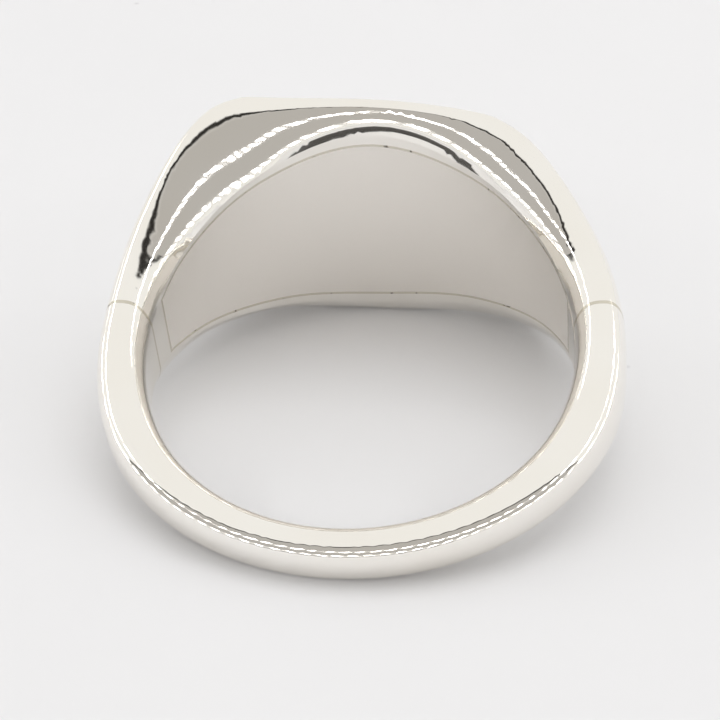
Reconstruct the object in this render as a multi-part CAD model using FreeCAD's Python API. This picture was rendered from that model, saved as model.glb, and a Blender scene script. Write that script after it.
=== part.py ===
"""Silver signet ring, lying on its side as it rests on a table.

The ring is built about its own bore first: U across the finger, V from the bore axis towards the face,
W along the bore.  It is then tipped and rolled onto its three points of rest, with +Z up and the floor at
Z = 0.  All sizes are millimetres.
"""
import FreeCAD, Part
import math
import os

# ---- driving sizes ------------------------------------------------------------------------------------
bore_radius = 8.65           # finger size, an inside diameter of 17.3

face_length = 12.6           # flat face, measured across the finger
face_width = 11.9            # flat face, measured along the finger
face_height_over_bore = 1.27 # silver between the bore and the face, at the middle
face_edge_radius = 0.30      # softened edge all round the face
rim_below_face = 0.50        # how far under the face the head is widest
face_offset = -0.55          # the head sits this far to one side of the bore, from hand work
face_skew_deg = 5.0          # and this much out of square with it

shoulder_fall_deg = 42.0     # how steeply the shoulder leaves the end of the face
shoulder_start_pull = 0.60   # length of the shoulder curve's straight start
shoulder_side_pull = 6.50    # how far up the side the shoulder stays upright

side_thickness = 2.03        # band, half way round
back_thickness = 1.60        # band, behind the finger

shoulder_width = 11.1        # width of the band where the shoulder leaves the face
cheek_width = 7.5            # ... between shoulder and side
side_width = 4.4             # ... half way round
lower_width = 2.30           # ... between side and back
back_width = 1.90            # ... behind the finger

head_land_width = 9.9        # straight cylinder inside the head, between its rounded lips
shoulder_land_width = 7.9
cheek_land_width = 4.9
side_land_width = 2.1
lower_land_width = 1.2
back_land_width = 1.0

head_fullness_out = 3.3      # how square the outer half of the section is: 2 is an ellipse
head_lip_fullness = 1.6      # the same for the lips next to the finger: under 2 is nearer a bevel
band_fullness_out = 3.0
band_lip_fullness = 2.0
head_lip_share = 0.07        # how much of the land the lips' curve takes in before the bore cuts it
band_lip_share = 0.45
band_centre_share = 0.45     # where the band is widest, as a share of its thickness

joint_deg = 82.0             # where the shank is butted to the head, from the middle of the head
joint_gap = 0.15             # thickness of silver solder in each shoulder joint

liner_thickness = 0.45       # curved plate let in behind the face
liner_short_of_joint_deg = 8.0   # the liner stops this far before each shoulder joint
liner_bead = 0.12            # width of the solder line round the liner
head_strip_width = 0.52      # strip of the land left between that line and the lip
shoulder_strip_width = 0.35
cheek_strip_width = 0.20
side_strip_width = 0.10

# ---- places along the band, in degrees from the middle of the head -----------------------------------
shoulder_deg, cheek_deg, side_deg, lower_deg, back_deg = 30.0, 60.0, 90.0, 120.0, 180.0
square_until_deg, round_from_deg = 10.0, 80.0
skew_until_deg, skew_gone_deg = 35.0, 85.0

lip_steps, side_steps = 9, 15   # points along each lip and each outer corner of a section
fine_steps = 300             # steps used to space those points evenly
face_stations, shoulder_stations, back_stations = 6, 12, 13
blank_overlap_deg = 20.0     # how far each blank runs past the joints
corner_softness = 1.0        # blends the widest line past the corner of the face
first_tip_deg, first_step_deg = 14.0, 1.0   # where the search for the pose at rest starts
far = 40.0                   # larger than the whole ring

face_v = bore_radius + face_height_over_bore
head_deg = math.degrees(math.atan2(face_offset, face_v))
side_u = bore_radius + side_thickness
back_v = -(bore_radius + back_thickness)
liner_end_deg = joint_deg - liner_short_of_joint_deg

width_places = ((0.0, face_width), (shoulder_deg, shoulder_width), (cheek_deg, cheek_width),
                (side_deg, side_width), (lower_deg, lower_width), (back_deg, back_width))
land_places = ((0.0, head_land_width), (shoulder_deg, shoulder_land_width), (cheek_deg, cheek_land_width),
               (side_deg, side_land_width), (lower_deg, lower_land_width), (back_deg, back_land_width))
strip_places = ((0.0, head_strip_width), (shoulder_deg, shoulder_strip_width),
                (cheek_deg, cheek_strip_width), (side_deg, side_strip_width))


def smooth_through(places, angle_deg):
    """A smooth value through the given places, level at the first and the last."""
    angle_deg = min(max(abs(angle_deg), places[0][0]), places[-1][0])
    slopes = [0.0]
    for before, here, after in zip(places, places[1:], places[2:]):
        rise_in = (here[1] - before[1]) / (here[0] - before[0])
        rise_out = (after[1] - here[1]) / (after[0] - here[0])
        level = rise_in * rise_out <= 0
        slopes.append(0.0 if level else 2 * rise_in * rise_out / (rise_in + rise_out))
    slopes.append(0.0)
    for index in range(len(places) - 1):
        start, end = places[index], places[index + 1]
        if angle_deg <= end[0]:
            break
    span = end[0] - start[0]
    t = (angle_deg - start[0]) / span
    return ((1 + 2 * t) * (1 - t) ** 2 * start[1] + t * (1 - t) ** 2 * span * slopes[index]
            + t * t * (3 - 2 * t) * end[1] - t * t * (1 - t) * span * slopes[index + 1])


def fade(angle_deg, until_deg, gone_deg):
    """1 up to the first angle, 0 from the second, and an easy slope between."""
    t = (abs(angle_deg) - until_deg) / (gone_deg - until_deg)
    t = min(max(t, 0.0), 1.0)
    return 1 - t * t * (3 - 2 * t)


def lower_of(a, b, softness):
    """The smaller of two values, rounded where they cross."""
    apart = abs(a - b)
    return min(a, b) - softness ** 2 / 2 / (math.hypot(apart, softness) + apart)


def from_head(u, v):
    """Degrees round the bore from the middle of the head to the point (u, v)."""
    angle_deg = math.degrees(math.atan2(u, v)) - head_deg
    return (angle_deg + 180) % 360 - 180


# ---- outline of the ring seen along the bore ----------------------------------------------------------
def outline_point(side, stage, t):
    """A point of the left (-1) or right (+1) half: over the face, down the shoulder or round the back."""
    fall = math.radians(shoulder_fall_deg)
    half_face = face_length / 2
    if stage == "face":
        # the blank is domed over the face, and the dome meets the shoulder in one line
        dome = math.tan(fall) * half_face / 2
        return face_offset + side * half_face * t, face_v + dome * (1 - t * t)
    if stage == "shoulder":
        end = half_face + side * face_offset
        u = (end, end + shoulder_start_pull * math.cos(fall), side_u, side_u)
        v = (face_v, face_v - shoulder_start_pull * math.sin(fall), shoulder_side_pull, 0.0)
        weights = ((1 - t) ** 3, 3 * (1 - t) ** 2 * t, 3 * (1 - t) * t * t, t ** 3)
        return (side * sum(w * x for w, x in zip(weights, u)), sum(w * x for w, x in zip(weights, v)))
    turn = math.pi / 2 * t
    return side * side_u * math.cos(turn), back_v * math.sin(turn)


def half_outline(side):
    """Station points of one half, from the top of the dome to the middle of the back."""
    points = []
    for stage, count in (("face", face_stations), ("shoulder", shoulder_stations), ("back", back_stations)):
        points += [outline_point(side, stage, step / count) for step in range(count)]
    return points + [(0.0, back_v)]


# ---- section of the ring where a half plane through the bore axis cuts it -----------------------------
def corner(fullness, core, width, depth, count):
    """Evenly spaced (depth, width) places round a soft corner, from its side to its crown."""
    power = 2 / fullness
    turns = [math.pi / 2 * step / fine_steps for step in range(fine_steps + 1)]
    places = [(depth * math.sin(turn) ** power, core + (width - core) * max(math.cos(turn), 0.0) ** power)
              for turn in turns]
    reach = [0.0]
    for before, here in zip(places, places[1:]):
        reach.append(reach[-1] + math.dist(before, here))
    picked, index = [], 0
    for step in range(count + 1):
        goal = reach[-1] * step / count
        while index < fine_steps - 1 and reach[index + 1] < goal:
            index += 1
        t = (goal - reach[index]) / (reach[index + 1] - reach[index])
        picked.append(tuple(p + t * (q - p) for p, q in zip(places[index], places[index + 1])))
    return picked


def section_points(u, v):
    """Points along the section whose outermost point is (u, v), from one lip over the crown to the other."""
    angle_deg = from_head(u, v)
    outer = math.hypot(u, v)
    half_width = smooth_through(width_places, angle_deg) / 2
    half_land = smooth_through(land_places, angle_deg) / 2
    head = fade(angle_deg, square_until_deg, round_from_deg)
    fullness_out = band_fullness_out + (head_fullness_out - band_fullness_out) * head
    fullness_lip = band_lip_fullness + (head_lip_fullness - band_lip_fullness) * head
    core = half_land * (1 - band_lip_share - (head_lip_share - band_lip_share) * head)

    widest = bore_radius + (outer - bore_radius) * (band_centre_share + (1 - band_centre_share) * head)
    if v > 0:
        widest = lower_of(widest, (face_v - rim_below_face) * outer / v, corner_softness)

    # each lip runs on a little inside the bore, so that the bore cuts it where the land ends
    share = (1 - ((half_land - core) / (half_width - core)) ** fullness_lip) ** (1 / fullness_lip)
    lip = corner(fullness_lip, core, half_width, (widest - bore_radius) / share, lip_steps)
    side = corner(fullness_out, 0.0, half_width, outer - widest, side_steps)
    half = [(widest - depth, w) for depth, w in lip[:0:-1]] + [(widest + depth, w) for depth, w in side]
    skew = math.tan(math.radians(face_skew_deg)) * fade(angle_deg, skew_until_deg, skew_gone_deg)

    points = []
    for radius, w in [(radius, -w) for radius, w in half] + half[-2::-1]:
        level = min(max((radius - bore_radius) / (outer - bore_radius), 0.0), 1.0)
        w -= skew * (radius * u / outer - face_offset) * level
        points.append(FreeCAD.Vector(radius * u / outer, radius * v / outer, w))
    return points


def section_wire(u, v):
    points = section_points(u, v)
    outside = Part.BSplineCurve()
    outside.interpolate(Points=points, Parameters=[float(step) for step in range(len(points))])
    return Part.Wire([outside.toShape(), Part.makeLine(points[-1], points[0])])


# ---- solids that the pieces are cut from --------------------------------------------------------------
def blank(outline):
    """One smooth solid through the sections at these outline points."""
    return Part.makeLoft([section_wire(u, v) for u, v in outline], True, False)


def head_blank():
    left, right = ([p for p in half_outline(side) if abs(from_head(*p)) < joint_deg + blank_overlap_deg]
                   for side in (-1, 1))
    return blank(left[:0:-1] + right)


def shank_blank():
    left, right = ([p for p in half_outline(side) if abs(from_head(*p)) > joint_deg - blank_overlap_deg]
                   for side in (-1, 1))
    return blank(right + left[-2::-1])


def slab(low_v, high_v):
    """Everything between two heights over the bore axis."""
    return Part.makeBox(2 * far, high_v - low_v, 2 * far, FreeCAD.Vector(-far, low_v, -far))


def sector(start_deg, end_deg):
    """A wedge about the bore axis, between two angles from the middle of the head."""
    size = end_deg - start_deg
    wedge = Part.makeCylinder(far, 2 * far, FreeCAD.Vector(0, 0, -far), FreeCAD.Vector(0, 0, 1), size)
    wedge.rotate(FreeCAD.Vector(0, 0, 0), FreeCAD.Vector(0, 0, 1), 90 - end_deg - head_deg)
    return wedge


def bore(extra=0.0):
    return Part.makeCylinder(bore_radius + extra, 2 * far, FreeCAD.Vector(0, 0, -far))


def liner_space(trim):
    """Where the liner is let into the land, narrowed by the trim all round, as a thick band."""
    wires = []
    count = 2 * shoulder_stations
    end_deg = liner_end_deg - math.degrees(trim / bore_radius)
    low, high = bore_radius / 2, bore_radius + 2 * liner_thickness
    for step in range(count + 1):
        angle_deg = end_deg * (2 * step / count - 1)
        half = smooth_through(land_places, angle_deg) / 2 - smooth_through(strip_places, angle_deg) - trim
        turn = math.radians(angle_deg + head_deg)
        corners = [FreeCAD.Vector(r * math.sin(turn), r * math.cos(turn), w)
                   for r, w in ((low, -half), (high, -half), (high, half), (low, half))]
        wires.append(Part.makePolygon(corners + corners[:1]))
    return Part.makeLoft(wires, True, False)


def liner_band(trim):
    sheet = bore(liner_thickness).cut(bore())
    return sheet.common(liner_space(trim))


# ---- the pieces ---------------------------------------------------------------------------------------
def face_rim(solid):
    """The edges all round the flat face."""
    for face in solid.Faces:
        flat = face.Surface.TypeId == "Part::GeomPlane"
        if flat and abs(face.CenterOfMass.y - face_v) < 1e-6:
            return face.Edges
    raise ValueError("the head has no flat face")


def signet_head(stock, gap_deg):
    head = stock.common(sector(gap_deg - joint_deg, joint_deg - gap_deg))
    head = head.common(slab(0, face_v))
    head = head.makeFillet(face_edge_radius, face_rim(head))
    return head.cut(bore()).cut(liner_band(0.0))


def half_shank(stock, gap_deg):
    return stock.common(sector(joint_deg + gap_deg, 360 - joint_deg - gap_deg)).cut(bore())


def shoulder_solder(stock, gap_deg, side):
    middle = side * joint_deg
    return stock.common(sector(middle - gap_deg, middle + gap_deg)).cut(bore())


def build_pieces():
    """Every piece of the ring, about its own bore."""
    head_stock, shank_stock = head_blank(), shank_blank()
    gap_deg = math.degrees(joint_gap / 2 / side_u)
    liner = liner_band(liner_bead)
    pieces = {
        "signet_head": signet_head(head_stock, gap_deg),
        "bore_liner": liner,
        "liner_solder": liner_band(0.0).cut(liner),
        "half_shank": half_shank(shank_stock, gap_deg),
        "left_shoulder_solder": shoulder_solder(head_stock, gap_deg, -1),
        "right_shoulder_solder": shoulder_solder(head_stock, gap_deg, 1),
    }
    for name, shape in pieces.items():
        if len(shape.Solids) != 1:
            raise ValueError(f"{name} came out as {len(shape.Solids)} solids")
    return {name: shape.Solids[0] for name, shape in pieces.items()}


# ---- the pose at rest ---------------------------------------------------------------------------------
def rest_turn(pieces):
    """The tip about U and the roll about V that put the centre of mass lowest over the floor."""
    solids = list(pieces.values())
    mass = sum(solid.Volume for solid in solids)
    centre = sum((solid.CenterOfMass * (solid.Volume / mass) for solid in solids), FreeCAD.Vector())
    points = [p for solid in solids for p in solid.tessellate(0.01)[0]]

    def turned(tip, roll):
        about_v = FreeCAD.Rotation(FreeCAD.Vector(0, 1, 0), roll)
        return FreeCAD.Rotation(FreeCAD.Vector(1, 0, 0), tip).multiply(about_v)

    def height(angles):
        up = turned(*angles).inverted().multVec(FreeCAD.Vector(0, 0, 1))
        return up.dot(centre) - min(map(up.dot, points))

    best, step = (first_tip_deg, 0.0), first_step_deg
    while step > 0.002:
        near = [(best[0] + step * a, best[1] + step * b) for a in (-1, 0, 1) for b in (-1, 0, 1)]
        lowest = min(near, key=height)
        step = step if lowest != best else step / 2
        best = lowest
    return turned(*best), best


def main():
    os.makedirs("parts", exist_ok=True)
    pieces = build_pieces()
    turn, (tip, roll) = rest_turn(pieces)
    pose = FreeCAD.Placement(FreeCAD.Vector(0, 0, 0), turn)
    for shape in pieces.values():
        shape.Placement = pose
    box = FreeCAD.BoundBox()
    for shape in pieces.values():
        for point in shape.tessellate(0.005)[0]:
            box.add(point)
    shift = FreeCAD.Vector(-box.Center.x, -box.Center.y, -box.ZMin)
    for name, shape in pieces.items():
        shape.translate(shift)
        shape.exportStep(f"parts/{name}.step")
        print(f"{name}: {len(shape.Solids)} solid, {shape.Volume:.3f} mm3, valid {shape.isValid()}")
    axis = turn.multVec(FreeCAD.Vector(0, 0, 1))
    face = turn.multVec(FreeCAD.Vector(0, 1, 0))
    face_at = turn.multVec(FreeCAD.Vector(0, face_v, 0)) + shift
    print(f"tip {tip:.3f} deg, roll {roll:.3f} deg, box {box.XLength:.3f} {box.YLength:.3f} {box.ZLength:.3f}")
    print("bore centre", [round(x, 5) for x in shift], "axis", [round(x, 6) for x in axis])
    print("face middle", [round(x, 5) for x in face_at], "normal", [round(x, 6) for x in face])


main()
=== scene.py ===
import math

import bpy
from mathutils import Euler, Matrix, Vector

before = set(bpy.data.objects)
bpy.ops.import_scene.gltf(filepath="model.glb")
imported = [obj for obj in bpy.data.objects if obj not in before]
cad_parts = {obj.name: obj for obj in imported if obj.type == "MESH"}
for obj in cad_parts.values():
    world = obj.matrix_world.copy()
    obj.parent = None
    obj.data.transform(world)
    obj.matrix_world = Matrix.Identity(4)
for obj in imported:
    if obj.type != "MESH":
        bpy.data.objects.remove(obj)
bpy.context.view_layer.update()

bpy.ops.object.select_all(action="DESELECT")


# ---- camera -------------------------------------------------------------------------------------------
# A 120 mm macro lens on a tripod, about 100 mm from the ring and a little to its right.  It looks down
# at 33 degrees, over the back of the shank and through the bore, to the inside of the head.
MM = 0.001
LENS = 120.1
LENS_SHIFT = (-0.0017, 0.0137)
NEAREST_SEEN = 5
TRIPOD_AT = (12.076, -81.322, 56.007)
CAMERA_TURN_DEG = (57.212, 0.961, 7.881)

camera_data = bpy.data.cameras.new("macro_lens")
camera_data.lens = LENS
camera_data.shift_x, camera_data.shift_y = LENS_SHIFT
camera_data.clip_start = NEAREST_SEEN * MM
camera = bpy.data.objects.new("camera", camera_data)
camera.location = Vector(TRIPOD_AT) * MM
camera.rotation_euler = Euler([math.radians(turn) for turn in CAMERA_TURN_DEG])
bpy.context.collection.objects.link(camera)
bpy.context.scene.camera = camera


# ---- floor --------------------------------------------------------------------------------------------
# The floor of the light box: a sheet of matt white card, a little off-white, with the faint cloudiness
# and the few specks that dust and handling leave on it.
FLOOR_SIZE = 900
CARD_WHITE = "#E2E2E4"
CARD_SHADE = "#DFDFE1"
CARD_ROUGHNESS = 0.85
CARD_SPECULAR_LEVEL = 0.2
CLOUD_SIZE = 14
SPECK_GREY = "#C6C5C8"
SPECK_SPACING = 5.5
SPECK_SHARE = 0.035   # a speck's radius, as a share of the spacing


def linear(hex_colour):
    """An sRGB hex colour as the linear colour that the shaders work in."""
    parts = [int(hex_colour[i:i + 2], 16) / 255 for i in (1, 3, 5)]
    return [p / 12.92 if p <= 0.04045 else ((p + 0.055) / 1.055) ** 2.4 for p in parts] + [1.0]


def node(tree, kind, sockets=None, **settings):
    """Adds a node with its settings, and gives each named or numbered socket its value or its link."""
    made = tree.nodes.new(kind)
    for name, value in settings.items():
        setattr(made, name, value)
    for name, value in (sockets or {}).items():
        if isinstance(value, bpy.types.NodeSocket):
            tree.links.new(value, made.inputs[name])
        else:
            made.inputs[name].default_value = value
    return made


def new_material(name):
    """A new material, its node tree and its shader."""
    material = bpy.data.materials.new(name)
    material.use_nodes = True
    return material, material.node_tree, material.node_tree.nodes["Principled BSDF"]


card, tree, shader = new_material("matt_white_card")
place = node(tree, "ShaderNodeTexCoord").outputs["Object"]
clouds = node(tree, "ShaderNodeTexNoise", {"Vector": place, "Scale": 1 / (CLOUD_SIZE * MM), "Detail": 3})
shade = node(tree, "ShaderNodeMix",
             {"Factor": clouds.outputs["Fac"], 6: linear(CARD_WHITE), 7: linear(CARD_SHADE)},
             data_type="RGBA")
specks = node(tree, "ShaderNodeTexVoronoi", {"Vector": place, "Scale": 1 / (SPECK_SPACING * MM)})
speck = node(tree, "ShaderNodeMapRange",
             {"Value": specks.outputs["Distance"], "From Max": SPECK_SHARE, "To Min": 1, "To Max": 0})
tint = node(tree, "ShaderNodeMix",
            {"Factor": speck.outputs["Result"], 6: shade.outputs[2], 7: linear(SPECK_GREY)},
            data_type="RGBA")
tree.links.new(tint.outputs[2], shader.inputs["Base Color"])
shader.inputs["Roughness"].default_value = CARD_ROUGHNESS
shader.inputs["Specular IOR Level"].default_value = CARD_SPECULAR_LEVEL
bpy.ops.mesh.primitive_plane_add(size=FLOOR_SIZE * MM, location=(0, 0, 0))
floor = bpy.context.object
floor.name = "light_box_floor"
floor.data.materials.append(card)
bpy.ops.object.select_all(action="DESELECT")


# ---- light box ----------------------------------------------------------------------------------------
# A white fabric light box, lit by two strings of bead lamps over its front opening.  The sewn seam across
# its roof is dark, and the roof in front of the seam is greyer.  Directions are measured in degrees, round
# from the front and up from the floor.
WALL_WHITE = "#F4F3F0"
ROOF_GREY = "#B9B6B2"
SEAM_DARK = "#2A2826"
ROOF_FADES_IN_DEG = 10.0
SEAM_LEAN = 0.30             # how far forward the seam lies, as a share of its height
SEAM_HALF, SEAM_SOFT = 0.03, 0.03
GREY_FROM_LEAN, GREY_BY_LEAN = 0.25, 0.40
LEAST_HEIGHT = 0.02          # keeps the lean finite at the horizon
BEAD_EVERY_DEG = 5.236
BEAD_EDGE = 0.2              # how soft the edge of a bead is
BEAD_BRIGHTNESS = 6.0
BEAD_ROWS = ((34.0, 2.2), (6.0, 2.0))   # height of each row, and half its width
ROW_SOFT_DEG = 0.8
ROW_HALF_DEG, ROW_END_DEG = 112.0, 10.0

world = bpy.data.worlds.new("light_box")
world.use_nodes = True
bpy.context.scene.world = world
tree = world.node_tree
looking = node(tree, "ShaderNodeTexCoord").outputs["Generated"]
towards = node(tree, "ShaderNodeSeparateXYZ", {"Vector": looking}).outputs
forward = node(tree, "ShaderNodeMath", {0: towards["Y"], 1: -1.0}, operation="MULTIPLY").outputs[0]
round_turn = node(tree, "ShaderNodeMath", {0: towards["X"], 1: forward}, operation="ARCTAN2").outputs[0]
round_deg = node(tree, "ShaderNodeMath", {0: round_turn}, operation="DEGREES").outputs[0]
up_turn = node(tree, "ShaderNodeMath", {0: towards["Z"]}, operation="ARCSINE").outputs[0]
up_deg = node(tree, "ShaderNodeMath", {0: up_turn}, operation="DEGREES").outputs[0]


def band(value, middle, half, soft):
    """1 within half of the middle, falling to 0 over the soft edge."""
    apart = node(tree, "ShaderNodeMath", {0: value, 1: middle}, operation="SUBTRACT").outputs[0]
    away = node(tree, "ShaderNodeMath", {0: apart}, operation="ABSOLUTE").outputs[0]
    edge = node(tree, "ShaderNodeMapRange", {"Value": away, "From Min": half + soft, "From Max": half})
    return edge.outputs[0]


# the roof, its seam and the greyer part in front of it
overhead = node(tree, "ShaderNodeMapRange", {"Value": up_deg, "From Max": ROOF_FADES_IN_DEG}).outputs[0]
height = node(tree, "ShaderNodeMath", {0: towards["Z"], 1: LEAST_HEIGHT}, operation="MAXIMUM").outputs[0]
lean = node(tree, "ShaderNodeMath", {0: forward, 1: height}, operation="DIVIDE").outputs[0]
past_seam = node(tree, "ShaderNodeMapRange",
                 {"Value": lean, "From Min": GREY_FROM_LEAN, "From Max": GREY_BY_LEAN}).outputs[0]
grey_roof = node(tree, "ShaderNodeMath", {0: past_seam, 1: overhead}, operation="MULTIPLY").outputs[0]
seam_line = band(lean, SEAM_LEAN, SEAM_HALF, SEAM_SOFT)
seam = node(tree, "ShaderNodeMath", {0: seam_line, 1: overhead}, operation="MULTIPLY").outputs[0]
box_light = node(tree, "ShaderNodeMix", {"Factor": grey_roof, 6: linear(WALL_WHITE), 7: linear(ROOF_GREY)},
                 data_type="RGBA").outputs[2]
box_light = node(tree, "ShaderNodeMix", {"Factor": seam, 6: box_light, 7: linear(SEAM_DARK)},
                 data_type="RGBA").outputs[2]

# the two strings of bead lamps, one high and one low
per_degree = math.tau / BEAD_EVERY_DEG
phase = node(tree, "ShaderNodeMath", {0: round_deg, 1: per_degree}, operation="MULTIPLY").outputs[0]
wave = node(tree, "ShaderNodeMath", {0: phase}, operation="COSINE").outputs[0]
beads = node(tree, "ShaderNodeMapRange",
             {"Value": wave, "From Min": -BEAD_EDGE, "From Max": BEAD_EDGE}).outputs[0]
string = band(round_deg, 0.0, ROW_HALF_DEG, ROW_END_DEG)
bead_light = [BEAD_BRIGHTNESS] * 3 + [1.0]
for height_deg, half_deg in BEAD_ROWS:
    row = band(up_deg, height_deg, half_deg, ROW_SOFT_DEG)
    strip = node(tree, "ShaderNodeMath", {0: row, 1: string}, operation="MULTIPLY").outputs[0]
    dots = node(tree, "ShaderNodeMath", {0: strip, 1: beads}, operation="MULTIPLY").outputs[0]
    box_light = node(tree, "ShaderNodeMix", {"Factor": dots, 6: box_light, 7: bead_light},
                     data_type="RGBA").outputs[2]
tree.links.new(box_light, tree.nodes["Background"].inputs["Color"])


# ---- table edge ---------------------------------------------------------------------------------------
# The dark edge of the table in front of the card.  It is near enough for the silver to mirror it, and
# nothing else sees it.
TABLE_DARK = "#2A2826"
TABLE_ROUGHNESS = 0.8
TABLE_AT = (-2, -50, 0.3)
TABLE_SIZE = (60, 50)

table, tree, shader = new_material("dark_table_edge")
shader.inputs["Base Color"].default_value = linear(TABLE_DARK)
shader.inputs["Roughness"].default_value = TABLE_ROUGHNESS
bpy.ops.mesh.primitive_plane_add(size=1, location=Vector(TABLE_AT) * MM)
edge = bpy.context.object
edge.name = "table_edge"
bpy.ops.object.mode_set(mode="EDIT")
bpy.ops.mesh.select_all(action="SELECT")
bpy.ops.transform.resize(value=(TABLE_SIZE[0] * MM, TABLE_SIZE[1] * MM, 1))
bpy.ops.object.mode_set(mode="OBJECT")
edge.data.materials.append(table)
edge.visible_camera = edge.visible_diffuse = edge.visible_shadow = False
bpy.ops.object.select_all(action="DESELECT")


# ---- roof panel ---------------------------------------------------------------------------------------
# The lamp behind the box's roof, which gives the soft shadow under the ring.  The fabric spreads it, so
# the silver mirrors the roof and not the lamp.
PANEL_SIZE = (300, 220)
PANEL_AT = (30, 50, 330)
PANEL_TURN_DEG = (-8, 5, 0)
PANEL_WATTS = 0.35

panel_data = bpy.data.lights.new("roof_panel", "AREA")
panel_data.shape = "RECTANGLE"
panel_data.size, panel_data.size_y = (side * MM for side in PANEL_SIZE)
panel_data.energy = PANEL_WATTS
panel = bpy.data.objects.new("roof_panel", panel_data)
panel.location = Vector(PANEL_AT) * MM
panel.rotation_euler = Euler([math.radians(turn) for turn in PANEL_TURN_DEG])
panel.visible_glossy = False
bpy.context.collection.objects.link(panel)


# ---- head and half shank ------------------------------------------------------------------------------
# The body of the ring, cast and drawn sterling silver.  It is filed, rubbed with finer and finer papers
# and polished on a mop with rouge, which leaves a mirror with very fine curved hairlines.
SILVER = "#FCFAF6"
SILVER_WARM = "#F7F3EB"
TARNISH_SIZE = 4
MIRROR_ROUGHNESS = (0.035, 0.085)
HAIRLINE_SPACING = 0.08      # really 0.03, drawn coarser so that the hairlines show
HAIRLINE_CURL = 1.5
RIPPLE_SIZE = 0.5
RIPPLE_DEPTH = 0.02
RIPPLE_STRENGTH = 0.05

polished, tree, shader = new_material("polished_sterling_silver")
place = node(tree, "ShaderNodeTexCoord").outputs["Object"]
tarnish = node(tree, "ShaderNodeTexNoise", {"Vector": place, "Scale": 1 / (TARNISH_SIZE * MM), "Detail": 2})
tone = node(tree, "ShaderNodeMix",
            {"Factor": tarnish.outputs["Fac"], 6: linear(SILVER), 7: linear(SILVER_WARM)}, data_type="RGBA")
tree.links.new(tone.outputs[2], shader.inputs["Base Color"])
shader.inputs["Metallic"].default_value = 1.0
hairlines = node(tree, "ShaderNodeTexNoise", {"Vector": place, "Scale": 1 / (HAIRLINE_SPACING * MM),
                                              "Detail": 2, "Distortion": HAIRLINE_CURL})
gloss = node(tree, "ShaderNodeMapRange", {"Value": hairlines.outputs["Fac"], "To Min": MIRROR_ROUGHNESS[0],
                                          "To Max": MIRROR_ROUGHNESS[1]})
tree.links.new(gloss.outputs["Result"], shader.inputs["Roughness"])
ripple = node(tree, "ShaderNodeTexNoise", {"Vector": place, "Scale": 1 / (RIPPLE_SIZE * MM), "Detail": 3})
relief = node(tree, "ShaderNodeBump", {"Height": ripple.outputs["Fac"], "Strength": RIPPLE_STRENGTH,
                                       "Distance": RIPPLE_DEPTH * MM})
tree.links.new(relief.outputs["Normal"], shader.inputs["Normal"])


def finish(name, material):
    """Gives a CAD node its real finish."""
    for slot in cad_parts[name].material_slots:
        slot.material = material


finish("signet_head", polished)
finish("half_shank", polished)


# ---- liner behind the face ----------------------------------------------------------------------------
# A curved plate of silver, let in behind the face flush with the bore.  Inside a ring only a felt stick
# reaches, so it keeps a satin surface with duller patches and faint lines round the finger.
LINER_SILVER = "#F6F2EC"
PATCH_SIZE = 2.5
SATIN_ROUGHNESS = (0.30, 0.46)
LINE_LENGTH = 0.9
LINE_STRETCH = 14            # the lines are this many times as long as they are wide
LINE_DEPTH = 0.02
LINE_STRENGTH = 0.15

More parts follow.
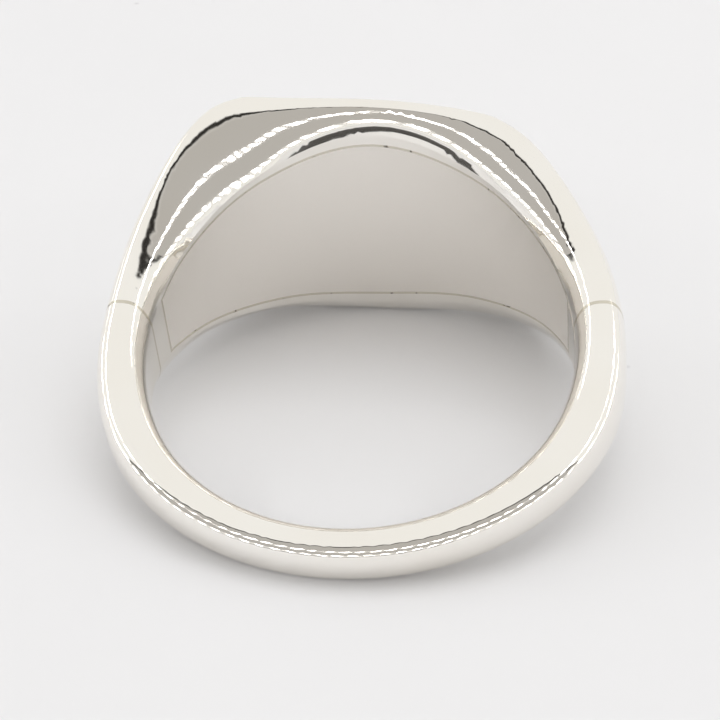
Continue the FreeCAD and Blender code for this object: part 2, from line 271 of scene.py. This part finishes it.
satin, tree, shader = new_material("satin_sterling_silver")
place = node(tree, "ShaderNodeTexCoord").outputs["Object"]
shader.inputs["Base Color"].default_value = linear(LINER_SILVER)
shader.inputs["Metallic"].default_value = 1.0
patches = node(tree, "ShaderNodeTexNoise", {"Vector": place, "Scale": 1 / (PATCH_SIZE * MM), "Detail": 4})
dull = node(tree, "ShaderNodeMapRange", {"Value": patches.outputs["Fac"], "To Min": SATIN_ROUGHNESS[0],
                                         "To Max": SATIN_ROUGHNESS[1]})
tree.links.new(dull.outputs["Result"], shader.inputs["Roughness"])
stretch = node(tree, "ShaderNodeMapping", {"Vector": place, "Scale": (1, 1, LINE_STRETCH)})
lines = node(tree, "ShaderNodeTexNoise", {"Vector": stretch.outputs["Vector"],
                                          "Scale": 1 / (LINE_LENGTH * MM), "Detail": 5})
relief = node(tree, "ShaderNodeBump", {"Height": lines.outputs["Fac"], "Strength": LINE_STRENGTH,
                                       "Distance": LINE_DEPTH * MM})
tree.links.new(relief.outputs["Normal"], shader.inputs["Normal"])
finish("bore_liner", satin)


# ---- solder round the liner and in the shoulder joints ------------------------------------------------
# Hard silver solder, flowed in and cleaned up flush.  It holds more copper and zinc than sterling, so it
# is a touch greyer and yellower, and small gas pits stay open along it; their dark colour is painted shade.
SOLDER = "#DCD6C8"
SOLDER_ROUGHNESS = 0.22
# painted shade: the dark colour painted inside each pit, where shade falls in the hollow
PIT_PAINTED_SHADE = "#4A443D"
PIT_SPACING = 0.35
PIT_FROM, PIT_BY = 0.66, 0.72   # how high the pattern has to rise for a pit to open
PIT_DEPTH = 0.05
PIT_STRENGTH = 0.6

solder, tree, shader = new_material("hard_silver_solder")
place = node(tree, "ShaderNodeTexCoord").outputs["Object"]
pits = node(tree, "ShaderNodeTexNoise", {"Vector": place, "Scale": 1 / (PIT_SPACING * MM), "Detail": 2})
# each pit is sunk by a bump and filled with painted shade
pit_and_painted_shade = node(tree, "ShaderNodeMapRange",
                {"Value": pits.outputs["Fac"], "From Min": PIT_FROM, "From Max": PIT_BY}).outputs["Result"]
tone = node(tree, "ShaderNodeMix", {"Factor": pit_and_painted_shade, 6: linear(SOLDER), 7: linear(PIT_PAINTED_SHADE)}, data_type="RGBA")
tree.links.new(tone.outputs[2], shader.inputs["Base Color"])
shader.inputs["Metallic"].default_value = 1.0
shader.inputs["Roughness"].default_value = SOLDER_ROUGHNESS
relief = node(tree, "ShaderNodeBump", {"Height": pit_and_painted_shade, "Strength": PIT_STRENGTH,
                                       "Distance": PIT_DEPTH * MM}, invert=True)
tree.links.new(relief.outputs["Normal"], shader.inputs["Normal"])
for joint in ("liner_solder", "left_shoulder_solder", "right_shoulder_solder"):
    finish(joint, solder)


# ---- how the picture is developed ---------------------------------------------------------------------
# Straight from light to picture, with no film curve, so that the white card and the silver stay as
# bright as they are lit.
bpy.context.scene.view_settings.view_transform = "Standard"
